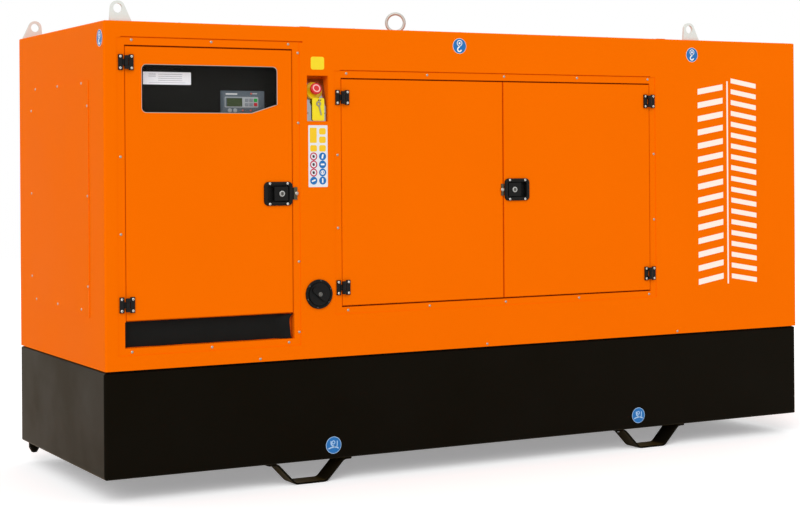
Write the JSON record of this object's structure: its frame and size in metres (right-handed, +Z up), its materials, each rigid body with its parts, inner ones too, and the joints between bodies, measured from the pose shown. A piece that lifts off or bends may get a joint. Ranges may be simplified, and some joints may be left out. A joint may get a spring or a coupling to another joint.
{
  "type": "diesel generator set in a sound-insulated canopy",
  "caption": "Sound-insulated diesel generator in an orange canopy on a black fuel-tank base with feet, with hinged doors, latches, lifting lugs and an emergency stop.",
  "frame": {"origin": "on the floor, under the middle of the set's outer box", "axes": "+X along the machine away from the control end, -Y the service side, +Z up"},
  "size_m": [3.402, 1.164, 1.965],
  "materials": {
    "black_paint": "satin black powder coat",
    "orange_paint": "powder-coated sheet steel, satin, fine orange peel",
    "black_zamak": "die-cast hinge, black powder coat",
    "black_polymer": "black glass-filled polyamide, light grain",
    "zinc": "bright zinc-plated steel",
    "stop_yellow": "yellow collar",
    "cabinet_black": "satin black control cabinet",
    "controller_grey": "grey-blue controller front",
    "battery_black": "battery case",
    "rubber": "black rubber sheet",
    "engine_grey": "painted cast iron, dark grey",
    "alternator_grey": "grey painted housing",
    "radiator_black": "black radiator frame and core",
    "exhaust_steel": "heat-stained steel",
    "clear_pane": "clear sheet, slightly smoked by the dark behind it",
    "stop_red": "red button"
  },
  "bodies": {
    "genset": {"base_tank": "black_paint", "front_feet": "black_paint", "rear_feet": "black_paint", "drain_plug": "black_paint", "left_end_wall": "orange_paint", "right_end_wall": "orange_paint", "end_covers": "orange_paint", "rear_wall": "orange_paint", "rear_doors": "orange_paint", "rear_hinges": "black_zamak", "rear_latches": "black_polymer", "roof": "orange_paint", "roof_grille": "black_paint", "lifting_lugs": "zinc", "lifting_eye": "zinc", "front_left_post": "orange_paint", "front_mid_post": "orange_paint", "front_right_panel": "orange_paint", "front_headers": "orange_paint", "front_sills": "orange_paint", "control_door_frame": "orange_paint", "engine_door_frame": "orange_paint", "door_stops": "orange_paint", "hinge_frame_leaves": "black_zamak", "control_keeper": "zinc", "stop_pocket": "orange_paint", "stop_plate": "zinc", "stop_collar": "stop_yellow", "fuel_filler": "black_polymer", "control_cabinet": "cabinet_black", "controller": "controller_grey", "output_breaker": "battery_black", "rubber_curtain": "rubber", "engine_rails": "black_paint", "engine": "engine_grey", "alternator": "alternator_grey", "radiator": "radiator_black", "silencer": "exhaust_steel", "air_filter": "black_polymer", "battery": "battery_black"},
    "control_door": {"control_door": "orange_paint", "window_pane": "clear_pane", "control_door_hinges": "black_zamak", "control_latch": "black_polymer"},
    "control_paddle": {"control_paddle": "black_polymer"},
    "engine_door_left": {"engine_door_left": "orange_paint", "engine_left_hinges": "black_zamak", "engine_keeper": "zinc"},
    "engine_door_right": {"engine_door_right": "orange_paint", "engine_right_hinges": "black_zamak", "engine_latch": "black_polymer"},
    "engine_paddle": {"engine_paddle": "black_polymer"},
    "stop_button": {"stop_button": "stop_red"},
    "fuel_cap": {"fuel_cap": "black_polymer"}
  },
  "joints": [
    {"name": "control_door_hinge", "type": "hinge", "parent": "genset", "child": "control_door", "pos_m": [-1.611, -0.574, 1.218], "axis": [0, 0, -1], "range_deg": [0, 110]},
    {"name": "engine_left_hinge", "type": "hinge", "parent": "genset", "child": "engine_door_left", "pos_m": [-0.692, -0.574, 1.1705], "axis": [0, 0, -1], "range_deg": [0, 110]},
    {"name": "engine_right_hinge", "type": "hinge", "parent": "genset", "child": "engine_door_right", "pos_m": [0.846, -0.574, 1.1705], "axis": [0, 0, 1], "range_deg": [0, 110]},
    {"name": "control_paddle_pin", "type": "hinge", "parent": "control_door", "child": "control_paddle", "pos_m": [-0.941, -0.563, 1.17], "axis": [0, 0, 1], "range_deg": [0, 35], "stiffness_Nm_per_rad": 0.15},
    {"name": "engine_paddle_pin", "type": "hinge", "parent": "engine_door_right", "child": "engine_paddle", "pos_m": [0.105, -0.563, 1.171], "axis": [0, 0, -1], "range_deg": [0, 35], "stiffness_Nm_per_rad": 0.15},
    {"name": "stop_press", "type": "slide", "parent": "genset", "child": "stop_button", "axis": [0, 0.9511, -0.309], "range_m": [0, 0.004], "stiffness_N_per_m": 1500},
    {"name": "fuel_cap_turn", "type": "hinge", "parent": "genset", "child": "fuel_cap", "pos_m": [-0.802, -0.565, 0.763], "axis": [0, -1, 0], "range_deg": [0, 90]}
  ]
}
